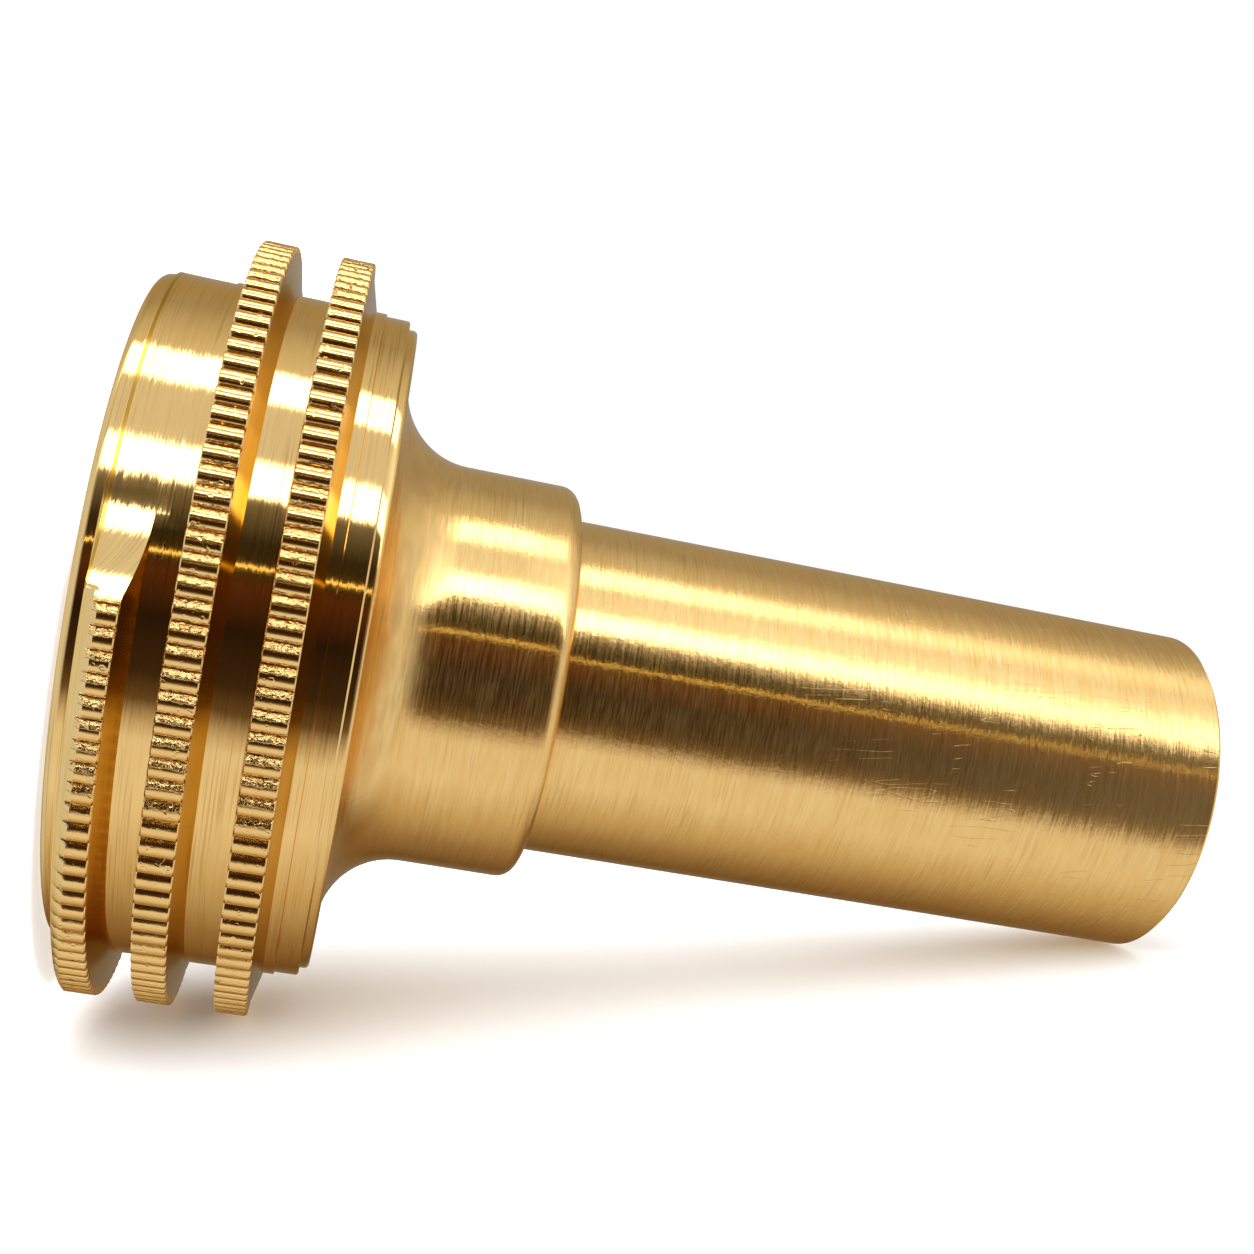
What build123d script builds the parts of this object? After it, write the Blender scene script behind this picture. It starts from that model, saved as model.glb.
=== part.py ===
from build123d import *
import os
from math import cos, radians, sin

# A brass turned fitting in one piece: a head with three knurled flanges, a neck, a collar and a tubular spigot.
# It stands on the front face of its head. Z runs along its axis from the head to the spigot, and the origin is
# the centre of the front face. The first flange is milled away over half its circumference, on the side of -X.
# Lengths are in mm, and angles in degrees from +X towards +Y.

os.makedirs("parts", exist_ok=True)

# Spigot and bore
total_length = 70.6
spigot_diameter = 22.0
spigot_chamfer = 0.3
bore_diameter = 18.0
bore_chamfer = 0.4

# Collar and neck
collar_diameter = 26.0
collar_length = 11.95
collar_corner = 1.1
neck_radius = 4.6

# Head, from its front face to the step below the neck
head_length = 15.45
head_diameter = 42.6
front_band_diameter = 42.0
front_band_length = 0.95
front_corner = 0.5
back_band_diameter = 42.3
back_band_length = 1.5
step_diameter = 41.3
step_length = 0.55
step_corner = 0.25
edge_bevel = 0.1

# Flanges: both sides of each flare out from the rim towards its root. A narrow flat ring lies inside the teeth
flange_diameter = 48.2
rim_width = 1.93
first_rim_start = 1.2
front_groove_width = 2.47
back_groove_width = 2.75
front_flare = 0.12
back_flare = 0.55
flat_ring = 0.1

# Knurl: straight teeth, all round each rim
tooth_count = 126
tooth_depth = 0.5
land_share = 0.4
floor_share = 0.16
first_gap_angle = 270.2

# Clearance milled into the first flange by a cutter that ran round the head
cutter_diameter = 25.0
milled_diameter = 42.4
milled_length = 3.45
milled_middle_angle = 180.0
milled_half_angle = 73.5
milled_margin = 2.0

# Bevel on the front edge of the first flange, turned a little off centre, so that it fades out round the rim
bevel_depth = 0.9
bevel_offset = 1.2
bevel_angle = 275.0

flange_height = front_flare + rim_width + back_flare
rim_starts = (
    first_rim_start,
    first_rim_start + rim_width + front_groove_width,
    first_rim_start + 2 * rim_width + front_groove_width + back_groove_width,
)


def at(radius, angle):
    """The point at a radius and an angle in the XY plane."""
    return (radius * cos(radians(angle)), radius * sin(radians(angle)))


def corner(radius, height, size, side=1):
    """A quarter round from (radius, height) to the right angle's other leg, for an outline in the XZ plane.

    With side 1 it starts on a cylinder and ends on the face above it, and with -1 it starts on the face below.
    """
    near = size * (1 - cos(radians(45)))
    if side == 1:
        start = (radius, 0, height - size)
        middle = (radius - near, 0, height - near)
        end = (radius - size, 0, height)
    else:
        start = (radius - size, 0, height)
        middle = (radius - near, 0, height + near)
        end = (radius, 0, height + size)
    return ThreePointArc(start, middle, end)


def lathe(outline):
    """Turns a closed outline in the XZ plane round Z."""
    return revolve(outline, axis=Axis.Z, revolution_arc=360)


def turned_core():
    """Head, neck, collar and spigot, without the flanges and the bore."""
    front_radius = front_band_diameter / 2
    head_radius = head_diameter / 2
    back_radius = back_band_diameter / 2
    step_radius = step_diameter / 2
    collar_radius = collar_diameter / 2
    spigot_radius = spigot_diameter / 2
    step_start = head_length - step_length
    back_band_start = step_start - back_band_length
    collar_end = head_length + collar_length
    neck_bulge = neck_radius * (1 - cos(radians(45)))
    outline = [
        Line((0, 0, 0), (front_radius - front_corner, 0, 0)),
        corner(front_radius, 0, front_corner, side=-1),
        Polyline(
            (front_radius, 0, front_corner),
            (front_radius, 0, front_band_length),
            (head_radius - edge_bevel, 0, front_band_length),
            (head_radius, 0, front_band_length + edge_bevel),
            (head_radius, 0, back_band_start),
            (back_radius, 0, back_band_start),
            (back_radius, 0, step_start - edge_bevel),
            (back_radius - edge_bevel, 0, step_start),
            (step_radius, 0, step_start),
            (step_radius, 0, head_length - step_corner),
        ),
        corner(step_radius, head_length, step_corner),
        Line((step_radius - step_corner, 0, head_length), (collar_radius + neck_radius, 0, head_length)),
        ThreePointArc(
            (collar_radius + neck_radius, 0, head_length),
            (collar_radius + neck_bulge, 0, head_length + neck_bulge),
            (collar_radius, 0, head_length + neck_radius),
        ),
        Line((collar_radius, 0, head_length + neck_radius), (collar_radius, 0, collar_end - collar_corner)),
        corner(collar_radius, collar_end, collar_corner),
        Polyline(
            (collar_radius - collar_corner, 0, collar_end),
            (spigot_radius, 0, collar_end),
            (spigot_radius, 0, total_length - spigot_chamfer),
            (spigot_radius - spigot_chamfer, 0, total_length),
            (0, 0, total_length),
            (0, 0, 0),
        ),
    ]
    return lathe(make_face(outline))


def knurl_outline():
    """The toothed outline of a rim, counted round from the middle of the first gap."""
    outer = flange_diameter / 2
    inner = outer - tooth_depth
    pitch = 360 / tooth_count
    half_floor = pitch * floor_share / 2
    half_land = pitch * land_share / 2
    corners = []
    for tooth in range(tooth_count):
        gap = first_gap_angle + tooth * pitch
        land = gap + pitch / 2
        corners.append(at(inner, gap - half_floor))
        corners.append(at(inner, gap + half_floor))
        corners.append(at(outer, land - half_land))
        corners.append(at(outer, land + half_land))
    return make_face(Polyline(*corners, close=True))


def flange():
    """A solid disc with one flange on it, whose toothed rim starts at height 0."""
    shoulder = flange_diameter / 2 - tooth_depth - flat_ring
    root = head_diameter / 2
    section = Polyline(
        (0, 0, -front_flare),
        (root, 0, -front_flare),
        (shoulder, 0, 0),
        (shoulder, 0, rim_width),
        (root, 0, rim_width + back_flare),
        (0, 0, rim_width + back_flare),
        close=True,
    )
    return lathe(make_face(section)) + extrude(knurl_outline(), amount=rim_width)


def bevel_cone():
    """The cone that bounds the first flange. It is deepest at bevel_angle, and cuts nothing on the far side."""
    rim_radius = flange_diameter / 2 + bevel_offset
    base_radius = rim_radius - bevel_depth - front_flare
    away_x, away_y = at(bevel_offset, bevel_angle + 180)
    cone = Cone(
        base_radius,
        base_radius + flange_height,
        flange_height,
        align=(Align.CENTER, Align.CENTER, Align.MIN),
    )
    return Pos(away_x, away_y, -front_flare) * cone


def milled_clearance():
    """What the cutter took off: a sector of a ring, with the cutter's round run-out at each end."""
    cutter_radius = cutter_diameter / 2
    inner = milled_diameter / 2
    outer = flange_diameter / 2 + milled_margin
    start = milled_middle_angle - milled_half_angle
    end = milled_middle_angle + milled_half_angle
    sector = make_face(
        [
            ThreePointArc(at(inner, start), at(inner, milled_middle_angle), at(inner, end)),
            Line(at(inner, end), at(outer, end)),
            ThreePointArc(at(outer, end), at(outer, milled_middle_angle), at(outer, start)),
            Line(at(outer, start), at(inner, start)),
        ]
    )
    cut = extrude(sector, amount=milled_length)
    for angle in (start, end):
        x, y = at(inner + cutter_radius, angle)
        cut += Pos(x, y, 0) * Cylinder(
            cutter_radius, milled_length, align=(Align.CENTER, Align.CENTER, Align.MIN)
        )
    return Pos(0, 0, front_band_length) * cut


def bore():
    """The plain through bore, chamfered at both mouths."""
    radius = bore_diameter / 2
    section = Polyline(
        (0, 0, 0),
        (radius + bore_chamfer, 0, 0),
        (radius, 0, bore_chamfer),
        (radius, 0, total_length - bore_chamfer),
        (radius + bore_chamfer, 0, total_length),
        (0, 0, total_length),
        close=True,
    )
    return lathe(make_face(section))


rim = flange()
body = turned_core() + Pos(0, 0, rim_starts[0]) * (rim & bevel_cone())
for rim_start in rim_starts[1:]:
    body += Pos(0, 0, rim_start) * rim
body -= milled_clearance()
body -= bore()

export_step(body, "parts/turned_body.step")
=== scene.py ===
import math
import bmesh
import bpy
from mathutils import Matrix, Vector


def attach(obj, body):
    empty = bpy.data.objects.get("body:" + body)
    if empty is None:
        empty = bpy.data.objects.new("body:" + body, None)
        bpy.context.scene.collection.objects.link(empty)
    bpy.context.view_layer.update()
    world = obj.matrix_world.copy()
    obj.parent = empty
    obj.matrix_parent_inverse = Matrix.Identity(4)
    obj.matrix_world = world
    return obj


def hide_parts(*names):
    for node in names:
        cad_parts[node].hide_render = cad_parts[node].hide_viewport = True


# A turned brass fitting that stands on its head: three knurled flanges, a neck, a collar and a spigot.
# Z runs along its axis. Sizes are in millimetres and angles in degrees from +X towards +Y; metres come last.

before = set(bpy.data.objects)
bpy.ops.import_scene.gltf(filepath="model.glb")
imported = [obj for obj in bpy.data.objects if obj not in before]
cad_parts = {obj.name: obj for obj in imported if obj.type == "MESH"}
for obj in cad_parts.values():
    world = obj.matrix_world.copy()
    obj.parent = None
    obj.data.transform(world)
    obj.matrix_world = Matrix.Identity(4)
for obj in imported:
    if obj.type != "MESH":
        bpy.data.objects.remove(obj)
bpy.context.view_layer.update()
millimetre = 0.001


class Signal:
    # A socket in a node tree. Arithmetic on it adds Math nodes to the tree.
    def __init__(self, graph, socket):
        self.graph = graph
        self.socket = socket

    def __add__(self, other):
        return self.graph.math("ADD", self, other)

    def __radd__(self, other):
        return self.graph.math("ADD", other, self)

    def __sub__(self, other):
        return self.graph.math("SUBTRACT", self, other)

    def __rsub__(self, other):
        return self.graph.math("SUBTRACT", other, self)

    def __mul__(self, other):
        return self.graph.math("MULTIPLY", self, other)

    def __rmul__(self, other):
        return self.graph.math("MULTIPLY", other, self)

    def __truediv__(self, other):
        return self.graph.math("DIVIDE", self, other)

    def __pow__(self, other):
        return self.graph.math("POWER", self, other)

    def __gt__(self, other):
        return self.graph.math("GREATER_THAN", self, other)

    def __lt__(self, other):
        return self.graph.math("LESS_THAN", self, other)


class Graph:
    # Builds one node tree: add() makes a node, and the helpers below it are the patterns used more than once.
    def __init__(self, tree):
        self.tree = tree

    def add(self, kind, settings, inputs, output=0):
        node = self.tree.nodes.new(kind)
        for name, value in settings.items():
            if name == "stops":
                self.fillRamp(node.color_ramp, value)
            elif name == "curve":
                self.fillCurve(node.mapping, value)
            else:
                setattr(node, name, value)
        for key, value in inputs.items():
            self.feed(node.inputs[key], value)
        return Signal(self, node.outputs[output]) if node.outputs else node

    def feed(self, socket, value):
        if isinstance(value, Signal):
            self.tree.links.new(value.socket, socket)
        else:
            socket.default_value = value

    def fillRamp(self, ramp, stops):
        while len(ramp.elements) > 1:
            ramp.elements.remove(ramp.elements[-1])
        for index, (place, tone) in enumerate(stops):
            element = ramp.elements[0] if index == 0 else ramp.elements.new(place)
            element.position = place
            element.color = (*tone, 1)

    def fillCurve(self, mapping, places):
        points = mapping.curves[0].points
        for index, (share, height) in enumerate(places):
            point = points[index] if index < 2 else points.new(share, height)
            point.location = (share, height)
            point.handle_type = "VECTOR"
        mapping.update()

    def math(self, operation, *values):
        return self.add("ShaderNodeMath", {"operation": operation}, dict(enumerate(values)))

    def clamp(self, value):
        return self.add("ShaderNodeMath", {"operation": "ADD", "use_clamp": True}, {0: value, 1: 0.0})

    def between(self, value, low, high):
        # 0 below low, 1 above high and smooth between
        return self.add(
            "ShaderNodeMapRange",
            {"interpolation_type": "SMOOTHSTEP"},
            {"Value": value, "From Min": low, "From Max": high},
        )

    def parts(self, vector):
        node = self.tree.nodes.new("ShaderNodeSeparateXYZ")
        self.feed(node.inputs[0], vector)
        return [Signal(self, output) for output in node.outputs]

    def vector(self, x, y, z):
        return self.add("ShaderNodeCombineXYZ", {}, {0: x, 1: y, 2: z})

    def mixColour(self, factor, first, second):
        mixer = self.tree.nodes.new("ShaderNodeMix")
        mixer.data_type = "RGBA"
        for index, value in ((0, factor), (6, first), (7, second)):
            self.feed(mixer.inputs[index], value)
        return Signal(self, mixer.outputs[2])

    def noise(self, vector, scale, detail, roughness, seed):
        return self.add(
            "ShaderNodeTexNoise",
            {"noise_dimensions": "4D"},
            {"Vector": vector, "W": seed, "Scale": scale, "Detail": detail, "Roughness": roughness},
        )


def freshMaterial(name):
    material = bpy.data.materials.new(name)
    material.use_nodes = True
    material.node_tree.nodes.clear()
    return material, Graph(material.node_tree)


# Body

bodySizes = {
    "totalLength": 70.6,
    "spigotRadius": 11.0,
    "spigotChamfer": 0.3,
    "boreRadius": 9.0,
    "boreChamfer": 0.4,
    "collarRadius": 13.0,
    "collarEnd": 27.4,
    "collarCorner": 1.1,
    "neckRadius": 4.6,
    "headLength": 15.45,
    "headRadius": 21.3,
    "frontBandRadius": 21.0,
    "frontBandLength": 0.95,
    "frontCorner": 0.5,
    "backBandRadius": 21.15,
    "backBandLength": 1.5,
    "stepRadius": 20.65,
    "stepLength": 0.55,
    "stepCorner": 0.25,
    "edgeBevel": 0.1,
    "fineBevel": 0.05,
    "coarseColumns": 252,
    "cornerSteps": 6,
    "stepCornerSteps": 4,
    "neckSteps": 18,
    "faceRing": 15.0,  # rings of vertices that only divide a long face
    "collarRing": 23.5,
    "spigotRings": (42.0, 56.0),
    "boreRings": (47.0, 24.0),
    "seam": 0.001,
    "mergeDistance": 0.002,
    "dissolveDistance": 0.0005,
    "sharpAngle": 32.0,
}

flangeSizes = {
    "rimRadius": 24.098,
    "rimWidth": 1.93,
    "rimStarts": (1.2, 5.6, 10.28),
    "gapAngles": (269.64, 270.2, 270.56),  # where each rim's first gap lies
    "grooves": (4.4, 8.9),  # heights that part one rim from the next
    "shoulderRadius": 23.5,
    "frontFlare": 0.12,
    "backFlare": 0.55,
    "rimBevel": 0.07,
    "rimSteps": 8,
    "toothCount": 126,
    "toothDepth": 0.3,
    "wear": 0.06,  # how unevenly deep the teeth are
    "crush": 0.05,
    "crushReach": 0.42,  # the share of the pitch that the wheel crushed
    "crushRise": 12,
    "crushFall": 20,
    "crushGrain": 0.4,
    "nudge": 0.001,  # keeps each tooth's first column on its own side of the gap
    "seed": 7,
}

# one tooth from the middle of a gap to the next: the share of the pitch, and how deep the rim is pressed
toothProfile = (
    (0.0, 1.0),
    (0.08, 0.66),
    (0.17, 0.32),
    (0.27, 0.12),
    (0.36, 0.02),
    (0.46, 0.0),
    (0.57, 0.0),
    (0.67, 0.03),
    (0.77, 0.14),
    (0.86, 0.31),
    (0.93, 0.54),
    (0.97, 0.8),
)

# the clearance that the cutter left in the first flange
millSizes = {
    "floorRadius": 21.2,
    "floorMargin": 0.01,
    "cutterRadius": 12.5,
    "start": 0.95,
    "end": 4.4,
    "middleAngle": 180.0,
    "halfAngle": 73.5,
    "wallMargin": 0.08,
}

# the bevel on the first flange, turned a little off centre
bevelSizes = {"depth": 0.9, "offset": 1.2, "angle": 275.0}


def turnsApart(first, second):
    # the smaller angle between two directions, in degrees
    return abs((first - second + 180) % 360 - 180)


def millRadius(angle):
    # how far out the milled clearance leaves metal standing
    reach = millSizes["floorRadius"] + millSizes["cutterRadius"]
    beyond = turnsApart(angle, millSizes["middleAngle"]) - millSizes["halfAngle"]
    if beyond <= 0:
        return millSizes["floorRadius"]
    across = reach * math.sin(math.radians(beyond))
    if beyond >= 90 or across >= millSizes["cutterRadius"]:
        return math.inf
    return reach * math.cos(math.radians(beyond)) - math.sqrt(millSizes["cutterRadius"] ** 2 - across**2)


def bevelDrop(angle):
    # how deep the turned bevel reaches into the first rim
    lean = bevelSizes["offset"] * math.cos(math.radians(angle - bevelSizes["angle"]))
    return max(0.0, lean + bevelSizes["depth"] - bevelSizes["offset"])


class Ring:
    # One ring of vertices. Its place is a function of the angle, and the strip after it takes its finish.
    # A knurled ring has its own fine columns, and a roof: the greatest radius that its teeth may have.
    def __init__(self, place, finish, columns=None, roof=None):
        self.place = place
        self.finish = finish
        self.columns = columns
        self.roof = roof


def plain(radius, height):
    return lambda angle: (radius, height)


def milled(radius, height):
    return lambda angle: (min(radius, millRadius(angle)), height)


def roundCorner(radius, height, size, turn, steps):
    # a quarter round from the cylinder to the face above it (turn 1), or from the face below it (turn -1)
    places = []
    for step in range(steps + 1):
        swing = math.radians(90 * step / steps)
        if turn == 1:
            places.append((radius - size + size * math.cos(swing), height - size + size * math.sin(swing)))
        else:
            places.append((radius - size + size * math.sin(swing), height + size - size * math.cos(swing)))
    return places


def wallRings(start, first):
    # the front side of a flange, from its root to its shoulder
    low = start - flangeSizes["frontFlare"]
    root = bodySizes["headRadius"]
    shoulder = flangeSizes["shoulderRadius"]

    def place(radius, angle):
        limit = min(radius, millRadius(angle)) if first else radius
        if first and radius == shoulder:
            limit = min(limit, flangeSizes["rimRadius"] - bevelDrop(angle) - millSizes["wallMargin"])
        share = (limit - root) / (shoulder - root)
        return (limit, low + flangeSizes["frontFlare"] * max(0.0, share))

    return [
        Ring(lambda angle: place(root, angle), "shadedWallBrass"),
        Ring(lambda angle: place(shoulder, angle), "shadedWallBrass"),
    ]


def backWallRings(end, first):
    # the back side of a flange, from its shoulder to its root
    root = bodySizes["headRadius"]
    shoulder = flangeSizes["shoulderRadius"]

    def place(radius, angle):
        limit = min(radius, millRadius(angle)) if first else radius
        share = (limit - root) / (shoulder - root)
        return (limit, end + flangeSizes["backFlare"] * (1 - max(0.0, share)))

    return [
        Ring(lambda angle: place(shoulder, angle), "shadedWallBrass"),
        Ring(lambda angle: place(root, angle), "polishedBrass"),
    ]


def rimRings(start, gapAngle, first):
    # the rim itself, in fine columns that the knurl tree then presses into teeth
    rim = flangeSizes["rimRadius"]
    bevel = flangeSizes["rimBevel"]
    end = start + flangeSizes["rimWidth"]
    columns = [
        gapAngle + (tooth + share) * 360 / flangeSizes["toothCount"]
        for tooth in range(flangeSizes["toothCount"])
        for share, depth in toothProfile
    ]

    def frontEdge(angle):
        return start + (bevelDrop(angle) if first else 0.0)

    def roofAt(height, angle):
        # the greatest radius that the bevel and the cutter leave at this height
        if not first:
            return math.inf
        leaning = rim - bevelDrop(angle) + height - start if bevelDrop(angle) > 0 else math.inf
        return min(leaning, millRadius(angle))

    def ring(heightOf, inset=0.0):
        def place(angle):
            return (rim - inset, heightOf(angle))

        def roof(angle):
            return roofAt(heightOf(angle), angle)

        return Ring(place, "knurledBrass", columns, roof)

    def seat(angle):
        # the first ring stays clear of the wall where the cutter took the flange down
        return start + (millSizes["wallMargin"] if millRadius(angle) < flangeSizes["shoulderRadius"] else 0.0)

    rings = []
    if first:
        rings.append(ring(seat))
        rings.append(ring(lambda angle: max(seat(angle), frontEdge(angle) - flangeSizes["toothDepth"])))
        rings.append(ring(lambda angle: max(seat(angle), frontEdge(angle))))
    else:
        rings.append(ring(lambda angle: start, bevel))
        rings.append(ring(lambda angle: start + bevel))
    for step in range(1, flangeSizes["rimSteps"]):
        share = step / flangeSizes["rimSteps"]
        rings.append(ring(lambda angle, share=share: frontEdge(angle) + share * (end - frontEdge(angle))))
    rings.append(ring(lambda angle: end - bevel))
    rings.append(ring(lambda angle: end, bevel))
    return rings


def headRings(turn, rings):
    # the front face and the head with its flanges, up to the step below the neck
    size = bodySizes
    fine = size["fineBevel"]
    front = size["frontBandLength"]
    band = size["frontBandRadius"]
    turn([(size["faceRing"], 0)], "shadedWallBrass")
    turn(roundCorner(band, 0, size["frontCorner"], -1, size["cornerSteps"]), "polishedBrass")
    turn([(band, front - fine), (band - fine, front)], "polishedBrass")
    rings.append(Ring(milled(size["headRadius"] - size["edgeBevel"], front), "milledBrass"))
    rings.append(Ring(milled(size["headRadius"], front + size["edgeBevel"]), "milledBrass"))
    for index, start in enumerate(flangeSizes["rimStarts"]):
        first = index == 0
        if not first:
            turn([(size["headRadius"], start - flangeSizes["frontFlare"] - fine)], "shadedWallBrass")
        rings.extend(wallRings(start, first))
        rings.extend(rimRings(start, flangeSizes["gapAngles"][index], first))
        rings.extend(backWallRings(start + flangeSizes["rimWidth"], first))
        if first:
            rings.append(Ring(milled(size["headRadius"], millSizes["end"]), "polishedBrass"))
            turn([(size["headRadius"], millSizes["end"] + size["seam"])], "polishedBrass")
    stepStart = size["headLength"] - size["stepLength"]
    bandStart = stepStart - size["backBandLength"]
    turn([(size["headRadius"], bandStart), (size["backBandRadius"], bandStart + fine)], "polishedBrass")
    turn([(size["backBandRadius"], stepStart - size["edgeBevel"])], "polishedBrass")
    turn([(size["backBandRadius"] - size["edgeBevel"], stepStart)], "shadedWallBrass")
    turn([(size["stepRadius"], stepStart)], "polishedBrass")


def spigotRings(turn):
    # the step, the neck, the collar and the spigot
    size = bodySizes
    fine = size["fineBevel"]
    spigot = size["spigotRadius"]
    chamfer = size["spigotChamfer"]
    head = size["headLength"]
    collar = size["collarRadius"]
    turn(roundCorner(size["stepRadius"], head, size["stepCorner"], 1, size["stepCornerSteps"]), "satinBrass")
    neckCentre = collar + size["neckRadius"]
    for step in range(size["neckSteps"] + 1):
        swing = math.radians(90 * step / size["neckSteps"])
        radius = neckCentre - size["neckRadius"] * math.sin(swing)
        height = head + size["neckRadius"] * (1 - math.cos(swing))
        turn([(radius, height)], "satinBrass")
    turn([(collar, size["collarRing"])], "satinBrass")
    turn(roundCorner(collar, size["collarEnd"], size["collarCorner"], 1, size["cornerSteps"]), "satinBrass")
    turn([(spigot + fine, size["collarEnd"]), (spigot, size["collarEnd"] + fine)], "satinBrass")
    turn([(spigot, height) for height in size["spigotRings"]], "satinBrass")
    turn([(spigot, size["totalLength"] - chamfer)], "polishedBrass")
    turn([(spigot - chamfer, size["totalLength"])], "satinBrass")


def bodyRings():
    # the whole outline: it starts inside the bore's front end and comes back to it through the bore
    bore = bodySizes["boreRadius"]
    chamfer = bodySizes["boreChamfer"]
    end = bodySizes["totalLength"]
    rings = []

    def turn(places, finish):
        rings.extend(Ring(plain(radius, height), finish) for radius, height in places)

    turn([(bore, chamfer), (bore + chamfer, 0)], "shadedWallBrass")
    headRings(turn, rings)
    spigotRings(turn)
    turn([(bore + chamfer, end), (bore, end - chamfer)], "boreBrass")
    turn([(bore, height) for height in bodySizes["boreRings"]], "boreBrass")
    return rings


def latheMesh(name, rings):
    # joins the rings, and stores on each vertex what the knurl tree needs
    coarse = [360 * index / bodySizes["coarseColumns"] for index in range(bodySizes["coarseColumns"])]
    vertices = []
    starts = []
    knurled = []
    phases = []
    roofs = []
    for ring in rings:
        starts.append(len(vertices))
        angles = ring.columns or coarse
        for angle in angles:
            radius, height = ring.place(angle)
            spin = math.radians(angle)
            vertices.append(Vector((radius * math.cos(spin), radius * math.sin(spin), height)) * millimetre)
            knurled.append(1.0 if ring.roof else 0.0)
            phases.append(math.radians(angles[0]))
            roofs.append(min(1.0, ring.roof(angle) * millimetre) if ring.roof else 1.0)
    faces = []
    marks = []
    for index, ring in enumerate(rings):
        after = rings[(index + 1) % len(rings)]
        low = starts[index]
        high = starts[(index + 1) % len(rings)]
        lowCount = len(ring.columns or coarse)
        highCount = len(after.columns or coarse)
        strip = stitch(low, lowCount, high, highCount, columnShift(ring, after, coarse))
        faces.extend(strip)
        marks.extend(faceFinish(ring, after, [vertices[corner] for corner in face]) for face in strip)
    mesh = bpy.data.meshes.new(name)
    mesh.from_pydata(vertices, [], faces)
    mesh.polygons.foreach_set("material_index", marks)
    for title, values in (("knurled", knurled), ("phase", phases), ("roof", roofs)):
        mesh.attributes.new(title, "FLOAT", "POINT").data.foreach_set("value", values)
    return mesh


def faceFinish(ring, after, corners):
    # the cutter's floor and run-outs have their own finish, and so has the bevel on the first rim
    middle = sum(corners, Vector()) / len(corners) / millimetre
    angle = math.degrees(math.atan2(middle.y, middle.x))
    radius = math.hypot(middle.x, middle.y)
    cut = millRadius(angle)
    head = bodySizes["headRadius"]
    inside = millSizes["start"] < middle.z < millSizes["end"]
    onFloor = cut < head and radius < head + millSizes["floorMargin"]
    onRunOut = ring.roof is not None and cut < flangeSizes["rimRadius"] - flangeSizes["toothDepth"] / 2
    if inside and (onFloor or onRunOut):
        return finishes.index("milledBrass")
    if ring.roof and after.roof:
        bevelled = min(ring.roof(angle), after.roof(angle))
        if bevelled < flangeSizes["rimRadius"] - flangeSizes["toothDepth"]:
            return finishes.index("polishedBrass")
    return finishes.index(ring.finish)


def columnShift(ring, after, coarse):
    # which coarse column lies nearest to the fine ring's first column
    fine = ring.columns or after.columns
    if not fine or (ring.columns and after.columns):
        return 0
    return round(fine[0] / coarse[1])


def stitch(low, lowCount, high, highCount, shift):
    # the faces between two rings, one of which may have several columns to each of the other's
    if lowCount == highCount:
        return [
            (low + i, low + (i + 1) % lowCount, high + (i + 1) % highCount, high + i) for i in range(lowCount)
        ]
    fewCount = min(lowCount, highCount)
    manyCount = max(lowCount, highCount)
    ratio = manyCount // fewCount
    half = ratio // 2
    coarseLow = lowCount < highCount
    few, many = (low, high) if coarseLow else (high, low)
    faces = []
    for i in range(fewCount):
        here = few + (i + shift) % fewCount
        there = few + (i + shift + 1) % fewCount
        for step in range(ratio):
            left = many + (i * ratio + step) % manyCount
            right = many + (i * ratio + step + 1) % manyCount
            face = (here if step < half else there, right, left)
            faces.append(face if coarseLow else face[::-1])
        middle = many + (i * ratio + half) % manyCount
        face = (here, there, middle)
        faces.append(face if coarseLow else face[::-1])
    return faces


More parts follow.
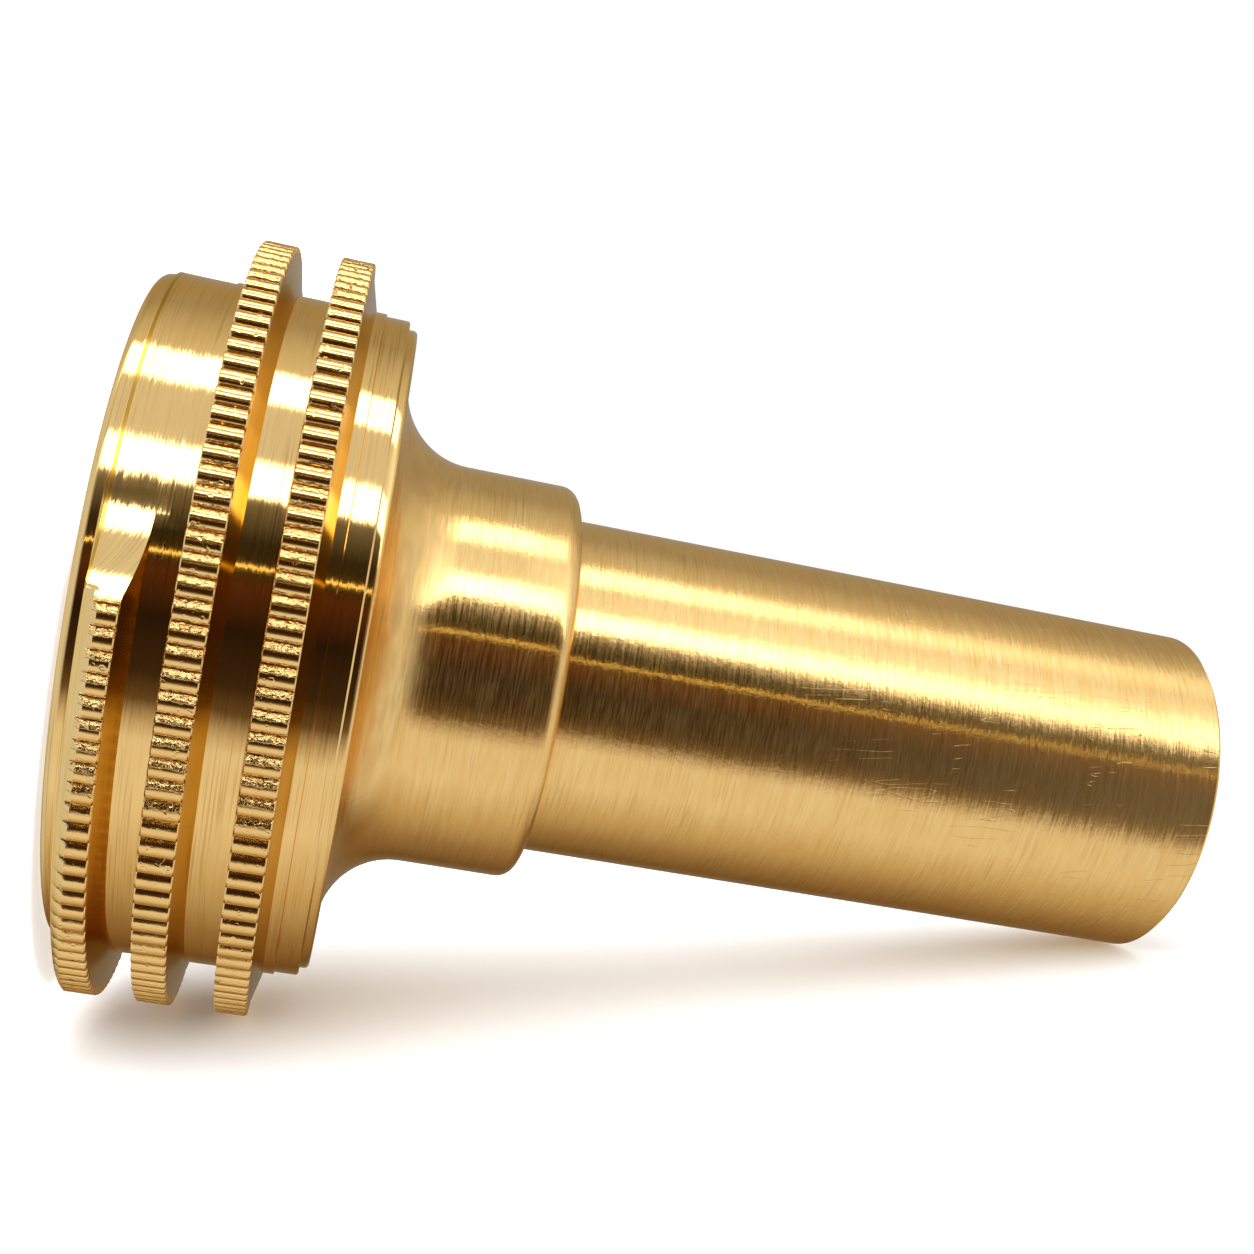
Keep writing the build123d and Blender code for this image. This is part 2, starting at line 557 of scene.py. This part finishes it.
def knurlTree():
    # presses straight teeth into the rims: gap floors, flanks and crushed lands
    size = flangeSizes
    tree = bpy.data.node_groups.new("knurl", "GeometryNodeTree")
    given = {}
    tree.interface.new_socket("Geometry", in_out="INPUT", socket_type="NodeSocketGeometry")
    for name, kind, value in (
        ("Tooth Count", "NodeSocketInt", size["toothCount"]),
        ("Tooth Depth", "NodeSocketFloat", size["toothDepth"] * millimetre),
        ("Crush", "NodeSocketFloat", size["crush"] * millimetre),
        ("Wear", "NodeSocketFloat", size["wear"]),
        ("Seed", "NodeSocketInt", size["seed"]),
    ):
        item = tree.interface.new_socket(name, in_out="INPUT", socket_type=kind)
        given[item.identifier] = value
    tree.interface.new_socket("Geometry", in_out="OUTPUT", socket_type="NodeSocketGeometry")
    graph = Graph(tree)
    group = tree.nodes.new("NodeGroupInput")
    sockets = list(group.outputs)[:-1]  # the last one is the empty socket that Blender keeps for a new input
    body, toothCount, toothDepth, crush, wear, seed = (Signal(graph, socket) for socket in sockets)

    def stored(name):
        return graph.add("GeometryNodeInputNamedAttribute", {"data_type": "FLOAT"}, {"Name": name})

    position = graph.add("GeometryNodeInputPosition", {}, {})
    x, y, z = graph.parts(position)
    angle = graph.math("ARCTAN2", y, x)
    turns = (angle - stored("phase")) * toothCount / (2 * math.pi) + size["nudge"] + toothCount
    tooth = graph.math("FLOOR", turns)
    share = turns - tooth
    chance = graph.add(
        "FunctionNodeRandomValue",
        {"data_type": "FLOAT"},
        {"Min": -1.0, "Max": 1.0, "ID": tooth, "Seed": seed},
        1,
    )
    profile = graph.add("ShaderNodeFloatCurve", {"curve": (*toothProfile, (1.0, 1.0))}, {"Value": share})
    grain = graph.noise(position, 1 / (size["crushGrain"] * millimetre), 2.0, 0.6, seed)
    crushStart = graph.clamp(share * size["crushRise"])
    crushEnd = graph.clamp((size["crushReach"] - share) * size["crushFall"])
    pressed = profile * toothDepth * (1 + chance * wear) + crushEnd * crushStart * grain * crush
    radius = (x * x + y * y) ** 0.5
    scale = graph.math("MINIMUM", radius - pressed, stored("roof")) / radius
    isKnurled = graph.add(
        "FunctionNodeCompare",
        {"data_type": "FLOAT", "operation": "GREATER_THAN"},
        {0: stored("knurled"), 1: 0.5},
    )
    moved = graph.add(
        "GeometryNodeSetPosition",
        {},
        {"Geometry": body, "Selection": isKnurled, "Position": graph.vector(x * scale, y * scale, z)},
    )
    real = graph.add("GeometryNodeRealizeInstances", {}, {"Geometry": moved})
    atRim = graph.add(
        "FunctionNodeCompare",
        {"data_type": "INT", "operation": "EQUAL"},
        {2: graph.add("GeometryNodeInputMaterialIndex", {}, {}), 3: finishes.index("knurledBrass")},
    )
    painted = graph.add(
        "GeometryNodeSetMaterial",
        {},
        {"Geometry": real, "Selection": atRim, "Material": materials["knurledBrass"]},
    )
    graph.add("NodeGroupOutput", {}, {0: painted})
    return tree, given


# Materials

deepBrass = (0.78, 0.47, 0.15)
paleBrass = (0.92, 0.65, 0.29)
warmEdge = (1.0, 0.78, 0.45)

# Every finish has its two tones, the tint of its reflections at the edge, and the share of each mark:
# lines and dashes are turning marks, scores are dark lines and tilt makes the reflections ragged.
brassFinishes = {
    "satinBrass": {
        "deep": deepBrass, "pale": paleBrass, "edge": (1.0, 0.87, 0.62), "anisotropic": 1.0,
        "lines": 0.7, "lineHeight": 0.007, "dashes": 0.5, "tilt": 0.03, "scores": 0.2,
    },
    "polishedBrass": {
        "deep": deepBrass, "pale": paleBrass, "edge": warmEdge, "anisotropic": 0.3, "roughness": 0.07,
        "lines": 0.35, "lineHeight": 0.002, "dashes": 0.5, "tilt": 0.035, "scores": 0.35,
    },
    # the flange walls: darker, deeper brass tones that are painted shade for the hollows between the flanges;
    # the front face and a few small faces take the same painted shade
    "shadedWallBrass": {
        "deep": (0.48, 0.25, 0.035), "pale": (0.68, 0.38, 0.06), "edge": (0.95, 0.83, 0.48),
        "anisotropic": 0.3, "roughness": 0.14,
        "lines": 0.4, "lineHeight": 0.002, "dashes": 0.2, "tilt": 0.0, "scores": 0.2,
    },
    "milledBrass": {
        "deep": deepBrass, "pale": paleBrass, "edge": warmEdge, "anisotropic": 0.3, "roughness": 0.08,
        "lines": 0.35, "lineHeight": 0.002, "dashes": 0.8, "tilt": 0.08, "scores": 0.3,
    },
    "boreBrass": {
        "deep": deepBrass, "pale": paleBrass, "edge": warmEdge, "anisotropic": 0.4, "roughness": 0.36,
        "lines": 0.8, "lineHeight": 0.006, "dashes": 0.3, "tilt": 0.0, "scores": 0.0,
    },
    "knurledBrass": {
        "deep": deepBrass, "pale": paleBrass, "edge": warmEdge, "anisotropic": 0.0,
        "lines": 0.2, "tilt": 0.0, "scores": 0.0,
    },
}
finishes = list(brassFinishes)

# marks that run round the axis: how often they change round it and along it, detail, roughness and seed
turnedMarks = {
    "lines": (5, 4.5, 1.0, 0.6, 1.5),
    "dashes": (40, 4, 1.0, 0.5, 2.5),
    "grain": (6, 10, 2.0, 0.6, 11.0),
    "scores": (3, 9, 1.0, 0.6, 8.0),
    "patches": (2.4, 0.35, 2.0, 0.5, 9.0),
    "streaks": (7, 10, 2.0, 0.6, 7.0),
}

# marks without a direction: how many to a metre, detail, roughness and seed
specks = {
    "clouds": (260.0, 3.0, 0.55, 3.0),
    "sand": (3000.0, 1.0, 0.5, 14.0),
    "scratched": (330.0, 2.0, 0.5, 13.0),
    "knobs": (4200.0, 2.0, 0.55, 4.0),
    "ragged": (3000.0, 1.0, 0.5, 5.0),
    "pits": (1500.0, 2.0, 0.6, 6.0),
}

# the satin neck, collar and spigot: heights from where to where, and how strong each mark is
satinWear = {
    "hazeHeights": (20.0, 72.0),
    "scratchHeights": (36.0, 62.0),
    "scratchPatches": (0.5, 0.6),
    "scratchWidth": (-0.00006, -0.000008),
    "scratchesRound": 13,  # how often the scratches' pattern changes round the axis, along it and aslant
    "scratchesAlong": 0.16,
    "scratchesAslant": 0.2,
    "grainSpread": (0.34, 0.66),
    "smoothest": 0.13,
    "grainRoughness": 0.11,
    "cloudRoughness": 0.02,
    "hazeRoughness": 0.1,
    "scratchDepth": 0.006,
    "sandHeight": 0.002,
    "tiltAtHead": 0.8,
    "tiltFromHaze": 5.5,
}

# the knurled rims: angles from where to where, and how strong each mark is
rimWear = {
    "crushStart": (244, 256),
    "crushEnd": (288, 299),
    "crushLeast": 0.05,
    "scuffStart": (319, 327),
    "scuffEnd": (212, 222),
    "flankStart": (-0.02, 0.06),  # shares of a tooth's pitch
    "flankEnd": (0.36, 0.4),
    "landStart": (0.3, 0.4),
    "nextFlank": (0.9, 0.95),
    "nextFlankShare": 0.7,
    "raggedness": 0.2,
    "pitSpread": (0.6, 0.7),
    "darkSpread": (0.6, 0.72),
    "smoothest": 0.13,
    "crushRoughness": 0.07,
    "cloudRoughness": 0.06,
    "scuffRoughness": 0.08,
    "crushHeight": 0.14,
    "knobHeight": 0.006,
    "pitDepth": 0.02,
    "scuffHeight": 0.05,
    # a dark brown mixed into the colour on the crushed flanks and in the pits
    "darkColour": (0.2, 0.1, 0.03),
    "darkOnFlanks": 0.6,
    "darkInPits": 0.7,
}

# dark turning lines: where the noise makes a line, where it gathers them in a patch, and what shows between
scoreWear = {"lines": (0.5, 0.66), "patches": (0.42, 0.62), "elsewhere": 0.2, "colour": (0.3, 0.15, 0.035)}


class LathePlace:
    # Where a point lies on the turned body, in millimetres, and the noises that make its marks.
    def __init__(self, graph):
        self.graph = graph
        self.point = graph.add("ShaderNodeTexCoord", {}, {}, "Object")
        self.x, self.y, self.z = (part / millimetre for part in graph.parts(self.point))
        self.radius = (self.x * self.x + self.y * self.y) ** 0.5
        self.alongX = self.x / self.radius
        self.alongY = self.y / self.radius

    def turned(self, mark):
        around, across, detail, roughness, seed = turnedMarks[mark]
        place = self.graph.vector(self.alongX * around, self.alongY * around, (self.z + self.radius) * across)
        return self.graph.noise(place, 1.0, detail, roughness, seed)

    def speckled(self, mark):
        return self.graph.noise(self.point, *specks[mark])


def turningHeight(at, look, lines):
    return lines * look["lineHeight"] + at.turned("dashes") * look["lineHeight"] * look["dashes"] * 1.5


def satinMarks(at, cloudy, height):
    # the roughness, the height with scratches and fine sand, and how much the tilt grows towards the end
    graph = at.graph
    wear = satinWear
    haze = graph.between(at.z, *wear["hazeHeights"])
    grain = graph.between(at.turned("grain"), *wear["grainSpread"])  # some lines scatter far more than others
    rough = wear["smoothest"] + wear["grainRoughness"] * grain + wear["cloudRoughness"] * cloudy
    rough = rough + haze * (1 - grain) * wear["hazeRoughness"]
    # hairline scratches, most of them near the spigot's end
    around = wear["scratchesRound"]
    hairPlace = graph.vector(
        at.alongX * around + at.z * wear["scratchesAslant"],
        at.alongY * around,
        at.z * wear["scratchesAlong"],
    )
    hairs = graph.noise(hairPlace, 1.0, 1.0, 0.4, 12.0) - 0.5
    scratch = graph.between(0 - hairs * hairs, *wear["scratchWidth"])
    scratch = scratch * graph.between(at.z, *wear["scratchHeights"])
    scratch = scratch * graph.between(at.speckled("scratched"), *wear["scratchPatches"])
    height = height - scratch * wear["scratchDepth"] + at.speckled("sand") * wear["sandHeight"]
    return rough, height, wear["tiltAtHead"] + wear["tiltFromHaze"] * haze


def rimMarks(at, cloudy, colour):
    # the roughness, height and colour of a rim that the cutting wheel crushed and that was knocked about; the
    # colour turns dark brown on the crushed flanks and in the pits
    graph = at.graph
    wear = rimWear
    first, second, third = flangeSizes["gapAngles"]
    lowGroove, highGroove = flangeSizes["grooves"]
    gap = first + (second - first) * (at.z > lowGroove) + (third - second) * (at.z > highGroove)
    spin = graph.math("ARCTAN2", at.y, at.x) * (180 / math.pi)
    share = graph.math("FRACT", (spin - gap) * (flangeSizes["toothCount"] / 360))
    turn = spin + 360 * (spin < 0)
    knobs = at.speckled("knobs")
    # one flank of each tooth is crushed, most of all over a part of the round
    ragged = share + (at.speckled("ragged") - 0.5) * wear["raggedness"]
    crushed = graph.between(ragged, *wear["flankStart"]) - graph.between(ragged, *wear["flankEnd"])
    crushed = crushed + graph.between(ragged, *wear["nextFlank"]) * wear["nextFlankShare"]
    worst = graph.between(turn, *wear["crushStart"]) - graph.between(turn, *wear["crushEnd"])
    crushed = crushed * (wear["crushLeast"] + (1 - wear["crushLeast"]) * worst)
    pitted = graph.between(at.speckled("pits"), *wear["pitSpread"])
    # the lands are scuffed and pitted over the rest of the round
    scuffed = graph.between(turn, *wear["scuffStart"]) + 1 - graph.between(turn, *wear["scuffEnd"])
    scuffed = scuffed * graph.between(share, *wear["landStart"])
    rough = wear["smoothest"] + crushed * wear["crushRoughness"] + cloudy * wear["cloudRoughness"]
    rough = rough + scuffed * wear["scuffRoughness"]
    height = crushed * knobs * wear["crushHeight"]
    height = height + knobs * (wear["knobHeight"] + wear["scuffHeight"] * scuffed)
    height = height - pitted * (wear["pitDepth"] + wear["scuffHeight"] * scuffed)
    # the colour is darker brown on the crushed flanks where the knobs stand high, and in the pits of the
    # scuffed lands
    darkening = crushed * graph.between(knobs, *wear["darkSpread"]) * wear["darkOnFlanks"]
    darkening = graph.clamp(darkening + pitted * scuffed * wear["darkInPits"])
    return rough, height, graph.mixColour(darkening, colour, (*wear["darkColour"], 1))


def brassMaterial(name, look):
    material, graph = freshMaterial(name)
    at = LathePlace(graph)
    lines = at.turned("lines")
    cloudy = at.speckled("clouds")
    tone = graph.clamp(0.5 + (lines - 0.5) * look["lines"] * 1.4 + (cloudy - 0.5) * 0.5)
    # the shaded wall finish's darker tones here are painted shade
    colour = graph.mixColour(tone, (*look["deep"], 1), (*look["pale"], 1))
    if name == "knurledBrass":
        rough, height, colour = rimMarks(at, cloudy, colour)
    elif name == "satinBrass":
        rough, height, unevenness = satinMarks(at, cloudy, turningHeight(at, look, lines))
    else:
        rough = look["roughness"] * (0.9 + 0.15 * lines + 0.1 * cloudy)
        height = turningHeight(at, look, lines)
    if look["scores"]:
        # dark turning lines, gathered in patches
        patch = graph.between(at.turned("patches"), *scoreWear["patches"])
        least = scoreWear["elsewhere"]
        scored = graph.between(at.turned("scores"), *scoreWear["lines"]) * (least + (1 - least) * patch)
        colour = graph.mixColour(scored * look["scores"], colour, (*scoreWear["colour"], 1))
    normal = graph.add("ShaderNodeNewGeometry", {}, {}, "Normal")
    if look["tilt"]:
        # each turning mark leans a little round the axis, which makes the edges of reflections ragged
        lean = (at.turned("streaks") - 0.5) * look["tilt"]
        if name == "satinBrass":
            lean = lean * unevenness
        sideways = graph.vector(0 - at.alongY * lean, at.alongX * lean, 0.0)
        leaning = graph.add("ShaderNodeVectorMath", {"operation": "ADD"}, {0: normal, 1: sideways})
        normal = graph.add("ShaderNodeVectorMath", {"operation": "NORMALIZE"}, {0: leaning})
    bump = graph.add(
        "ShaderNodeBump", {}, {"Strength": 1.0, "Distance": millimetre, "Height": height, "Normal": normal}
    )
    shader = graph.add(
        "ShaderNodeBsdfPrincipled",
        {},
        {
            "Base Color": colour,
            "Metallic": 1.0,
            "Roughness": rough,
            "Specular Tint": (*look["edge"], 1),
            "Anisotropic": look["anisotropic"],
            "Anisotropic Rotation": 0.25,
            "Normal": bump,
        },
    )
    graph.add("ShaderNodeOutputMaterial", {}, {"Surface": shader})
    return material


materials = {name: brassMaterial(name, look) for name, look in brassFinishes.items()}
print("materials", finishes)


def turnedBody():
    mesh = latheMesh("turnedBody", bodyRings())
    for name in finishes:
        mesh.materials.append(materials[name])
    body = bpy.data.objects.new("turnedBody", mesh)
    bpy.context.collection.objects.link(body)
    tree, given = knurlTree()
    knurl = body.modifiers.new("knurl", "NODES")
    knurl.node_group = tree
    for identifier, value in given.items():
        knurl[identifier] = value
    evaluated = body.evaluated_get(bpy.context.evaluated_depsgraph_get())
    pressed = bpy.data.meshes.new_from_object(evaluated)
    body.modifiers.remove(knurl)
    body.data = pressed
    closeSeams(pressed)
    print("body", len(pressed.vertices), "vertices", len(pressed.polygons), "faces")
    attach(body, "root")
    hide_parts("turned_body")


def closeSeams(mesh):
    # merges the doubled vertices, and checks that the shell is closed
    merge = bodySizes["mergeDistance"] * millimetre
    dissolve = bodySizes["dissolveDistance"] * millimetre
    working = bmesh.new()
    working.from_mesh(mesh)
    bmesh.ops.remove_doubles(working, verts=working.verts, dist=merge)
    bmesh.ops.dissolve_degenerate(working, edges=working.edges, dist=dissolve)
    bmesh.ops.recalc_face_normals(working, faces=working.faces)
    openEdges = [edge for edge in working.edges if len(edge.link_faces) != 2]
    print("edges without two faces", len(openEdges), "volume mm3", working.calc_volume() / millimetre**3)
    working.to_mesh(mesh)
    working.free()
    mesh.shade_smooth()
    mesh.set_sharp_from_angle(angle=math.radians(bodySizes["sharpAngle"]))
    for title in ("knurled", "phase", "roof"):
        if title in mesh.attributes:
            mesh.attributes.remove(mesh.attributes[title])


# Floor, backdrop and lamps

# Each plane's paleness under the lamps, its own glow, and how much more it glows at its foot.
# The backdrop leans against the rim of the last flange and the end of the spigot.
stageSizes = {
    "reach": 0.6,  # in metres
    "rimTouch": (24.1, 12.2),
    "floor": (0.7, 0.56, 0.0),
    "backdrop": (0.9, 0.03, 0.9),
    "footHeights": (-4.0, 4.0),
}

# where each lamp's light comes from, its strength and how wide it is in degrees
lamps = {
    "tableLamp": ((-1.0, -0.2, -0.1), 3.7, 160),
    "floorLamp": ((-0.2, -1.0, 1.3), 5.0, 35),
}


def floorMaterial(name, paleness, glow, foot):
    material, graph = freshMaterial(name)
    pale = graph.add("ShaderNodeBsdfDiffuse", {}, {"Color": (paleness, paleness, paleness, 1)})
    # the backdrop turns white towards its foot, so that no edge shows where it meets the floor
    place = graph.add("ShaderNodeTexCoord", {}, {}, "Object")
    height = graph.parts(place)[2] / millimetre
    strength = glow + foot * (1 - graph.between(height, *stageSizes["footHeights"]))
    shine = graph.add("ShaderNodeEmission", {}, {"Color": (1, 1, 1, 1), "Strength": strength})
    lit = graph.add("ShaderNodeAddShader", {}, {0: pale, 1: shine})
    clear = graph.add("ShaderNodeBsdfTransparent", {}, {})
    behind = graph.add("ShaderNodeNewGeometry", {}, {}, "Backfacing")
    shown = graph.add("ShaderNodeMixShader", {}, {0: behind, 1: lit, 2: clear})
    graph.add("ShaderNodeOutputMaterial", {}, {"Surface": shown})
    return material


def stagePlane(name, corners, material):
    mesh = bpy.data.meshes.new(name)
    mesh.from_pydata(corners, [], [(0, 1, 2, 3)])
    mesh.materials.append(material)
    plane = bpy.data.objects.new(name, mesh)
    bpy.context.collection.objects.link(plane)
    plane.visible_glossy = False
    plane.visible_shadow = False
    return plane


def floorAndBackdrop():
    reach = stageSizes["reach"]
    corners = [(-reach, -reach, 0), (reach, -reach, 0), (reach, reach, 0), (-reach, reach, 0)]
    stagePlane("floor", corners, floorMaterial("paleFloor", *stageSizes["floor"]))
    rim, height = stageSizes["rimTouch"]
    tilt = math.atan((rim - bodySizes["spigotRadius"]) / (bodySizes["totalLength"] - height))
    touch = Vector((rim, 0, height)) * millimetre
    along = Vector((-math.sin(tilt), 0, math.cos(tilt)))
    across = Vector((0, 1, 0))
    sides = ((-reach, -reach), (-reach, reach), (reach, reach), (reach, -reach))
    corners = [touch + along * a + across * b for a, b in sides]
    backdrop = stagePlane("backdrop", corners, floorMaterial("paleTable", *stageSizes["backdrop"]))
    if backdrop.data.polygons[0].normal.x > 0:
        backdrop.data.flip_normals()
    print("floor and backdrop", math.degrees(tilt), "degrees of lean")


def softSun(name, source, strength, spread):
    # a soft lamp at a great distance, so that it lights the whole floor evenly
    data = bpy.data.lights.new(name, "SUN")
    data.energy = strength
    data.angle = math.radians(spread)
    lamp = bpy.data.objects.new(name, data)
    bpy.context.collection.objects.link(lamp)
    lamp.rotation_euler = Vector(source).to_track_quat("Z", "Y").to_euler()
    lamp.visible_glossy = False
    lamp.visible_camera = False
    print("lamp", name)


# Studio

# how bright the studio is round the axis: 0 is -Y, 90 is -X, and 180 and -180 are +Y
studioTones = (
    (-180, (0.3, 0.28, 0.26)),  # the far side, and then the shaded table
    (-145, (0.18, 0.12, 0.07)),
    (-118, (0.36, 0.27, 0.18)),
    (-90, (0.68, 0.6, 0.44)),
    (-65, (0.92, 0.91, 0.86)),  # the lit table and the wall behind the camera
    (-40, (0.9, 0.9, 0.88)),
    (-34, (0.62, 0.56, 0.48)),
    (-27, (0.15, 0.1, 0.05)),  # the dark camera side
    (-18, (0.05, 0.03, 0.015)),
    (0, (0.025, 0.013, 0.006)),
    (14, (0.1, 0.035, 0.01)),
    (19, (0.045, 0.03, 0.012)),
    (28, (0.04, 0.03, 0.015)),
    (41, (0.2, 0.18, 0.14)),
    (56, (0.9, 0.9, 0.92)),  # the window side
    (88, (0.88, 0.88, 0.86)),
    (102, (0.72, 0.7, 0.62)),
    (122, (0.44, 0.42, 0.4)),  # the grey ceiling
    (180, (0.36, 0.36, 0.38)),
)

# bright panels: from, to, softness, strength, strength high up, lean and colour
studioPanels = (
    (42.0, 55.0, 1.2, 5.0, 3.6, 11.0, (1, 1, 1)),
    (55.0, 78.0, 3.0, 0.9, 1.75, 12.0, (0.92, 0.96, 1)),
    (77.0, 91.0, 1.5, 5.0, 1.25, 22.0, (1, 1, 1)),
    (19.7, 20.4, 0.15, 3.0, 3.0, 0.0, (1, 0.75, 0.25)),
)

# what lies above and below, by the height of the direction: from, to, share and colour
studioEnds = {
    "panelFade": (0.0, 0.3),
    "warmth": (0.1, 0.4, 0.035, (1, 0.6, 0.12)),
    "below": (0.3, 0.75, (0.8, 0.88, 1.0)),
    "above": (0.6, 0.85, (0.85, 0.85, 0.82)),
    "evenLight": 0.3,
}


def studioWorld():
    world = bpy.data.worlds.new("studio")
    bpy.context.scene.world = world
    world.use_nodes = True
    world.node_tree.nodes.clear()
    graph = Graph(world.node_tree)
    x, y, z = graph.parts(graph.add("ShaderNodeTexCoord", {}, {}, "Generated"))
    climb = graph.math("ARCTAN2", 0 - x, 0 - y) * (180 / math.pi)
    stops = [(degrees / 360 + 0.5, tone) for degrees, tone in studioTones]
    tone = graph.add("ShaderNodeValToRGB", {"stops": stops}, {"Fac": climb / 360 + 0.5})
    highUp = graph.between(z, *studioEnds["panelFade"])
    for low, high, soft, strength, faded, lean, colour in studioPanels:
        leaning = climb + z * lean
        share = graph.between(leaning, low - soft, low + soft)
        share = share - graph.between(leaning, high - soft, high + soft)
        near = (*(strength * part for part in colour), 1)
        far = (*(faded * part for part in colour), 1)
        tone = graph.mixColour(share, tone, graph.mixColour(highUp, near, far))
    low, high, share, colour = studioEnds["warmth"]
    tone = graph.mixColour(graph.between(z, low, high) * share, tone, (*colour, 1))
    low, high, colour = studioEnds["below"]
    tone = graph.mixColour(graph.between(0 - z, low, high), tone, (*colour, 1))
    low, high, colour = studioEnds["above"]
    tone = graph.mixColour(graph.between(z, low, high), tone, (*colour, 1))
    seen = graph.add("ShaderNodeLightPath", {}, {}, "Is Camera Ray")
    glossy = graph.add("ShaderNodeLightPath", {}, {}, "Is Glossy Ray")
    passed = graph.add("ShaderNodeLightPath", {}, {}, "Is Transmission Ray")
    # metal shows the studio with its dark side, matt surfaces get an even light, and the camera sees white
    even = studioEnds["evenLight"]
    colour = graph.mixColour(graph.clamp(glossy + passed), (even, even, even, 1), tone)
    colour = graph.mixColour(seen, colour, (1, 1, 1, 1))
    background = graph.add("ShaderNodeBackground", {}, {"Color": colour, "Strength": 1.0})
    graph.add("ShaderNodeOutputWorld", {}, {"Surface": background})
    print("studio", len(studioTones), "tones", len(studioPanels), "panels")


# Camera

cameraSizes = {
    "lens": 47.685,
    "sensor": 36.0,
    "pictureWidth": 1254,  # in pixels
    "centreRow": 752,  # the row of pixels that the lens points at
    "place": (0.0, -109.709, 14.203),
    "yaw": -10.1683,
    "pitch": -1.7919,
    "roll": 10.1076,
    "nearest": 0.005,  # in metres
    "farthest": 10.0,
}


def mainCamera():
    size = cameraSizes
    data = bpy.data.cameras.new("camera")
    data.sensor_width = size["sensor"]
    data.lens = size["lens"]
    data.shift_y = (size["centreRow"] - size["pictureWidth"] / 2) / size["pictureWidth"]
    data.clip_start = size["nearest"]
    data.clip_end = size["farthest"]
    camera = bpy.data.objects.new("camera", data)
    bpy.context.collection.objects.link(camera)
    # lying on its side: the view's right is the part's axis, and its up is -X
    lying = Matrix(((0, -1, 0), (0, 0, -1), (1, 0, 0)))
    turn = (
        Matrix.Rotation(math.radians(size["yaw"]), 3, "Y")
        @ Matrix.Rotation(math.radians(size["pitch"]), 3, "X")
        @ Matrix.Rotation(math.radians(size["roll"]), 3, "Z")
    )
    place = Vector(size["place"]) * millimetre
    camera.matrix_world = Matrix.LocRotScale(place, (lying @ turn).to_quaternion(), None)
    bpy.context.scene.camera = camera
    print("camera", tuple(place))


turnedBody()
floorAndBackdrop()
for name, (source, strength, spread) in lamps.items():
    softSun(name, source, strength, spread)
studioWorld()
mainCamera()
bpy.context.scene.view_settings.view_transform = "Standard"
print("scene built")
